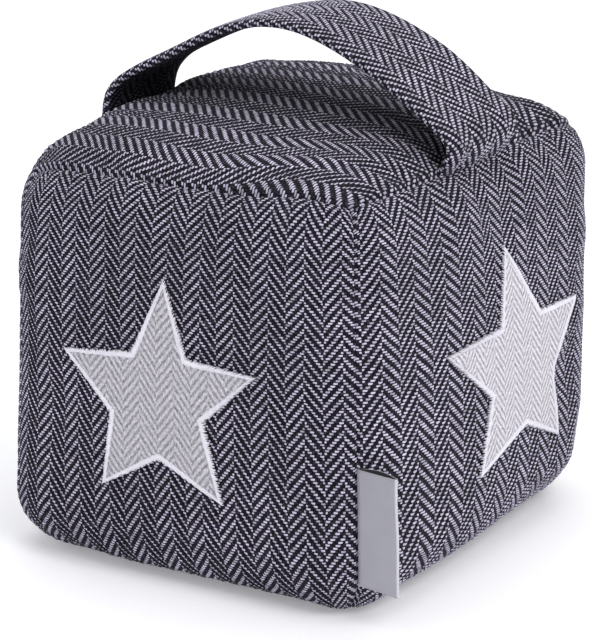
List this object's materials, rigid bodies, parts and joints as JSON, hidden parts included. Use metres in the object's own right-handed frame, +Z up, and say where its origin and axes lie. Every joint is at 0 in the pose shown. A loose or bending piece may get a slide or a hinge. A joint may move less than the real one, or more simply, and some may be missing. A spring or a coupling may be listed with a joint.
{
  "type": "door stop",
  "caption": "Weighted fabric door stop: a filled soft block in herringbone cloth with a carrying strap over the top, a star appliqué on two sides and a bare seam label.",
  "frame": {"origin": "middle of the flat base that the door stop stands on", "axes": "+Z up along the overall height, -Y out of the front with the upright star, +X out of the right side; the strap runs along X"},
  "size_m": [0.1535, 0.1585, 0.1729],
  "materials": {
    "charcoal_herringbone": "matt woven herringbone, pale grey weft floats over a near-black warp",
    "pale_herringbone": "matt woven herringbone in pale grey and white",
    "white_thread": "satin stitch in bright white thread, slightly glossy",
    "satin_ribbon": "silver-grey satin ribbon with a soft sheen"
  },
  "bodies": {
    "root": {"filled_body": "charcoal_herringbone", "carry_strap": "charcoal_herringbone", "front_star": "pale_herringbone", "front_star_stitching": "white_thread", "right_star": "pale_herringbone", "right_star_stitching": "white_thread", "ribbon_label": "satin_ribbon"}
  },
  "joints": []
}
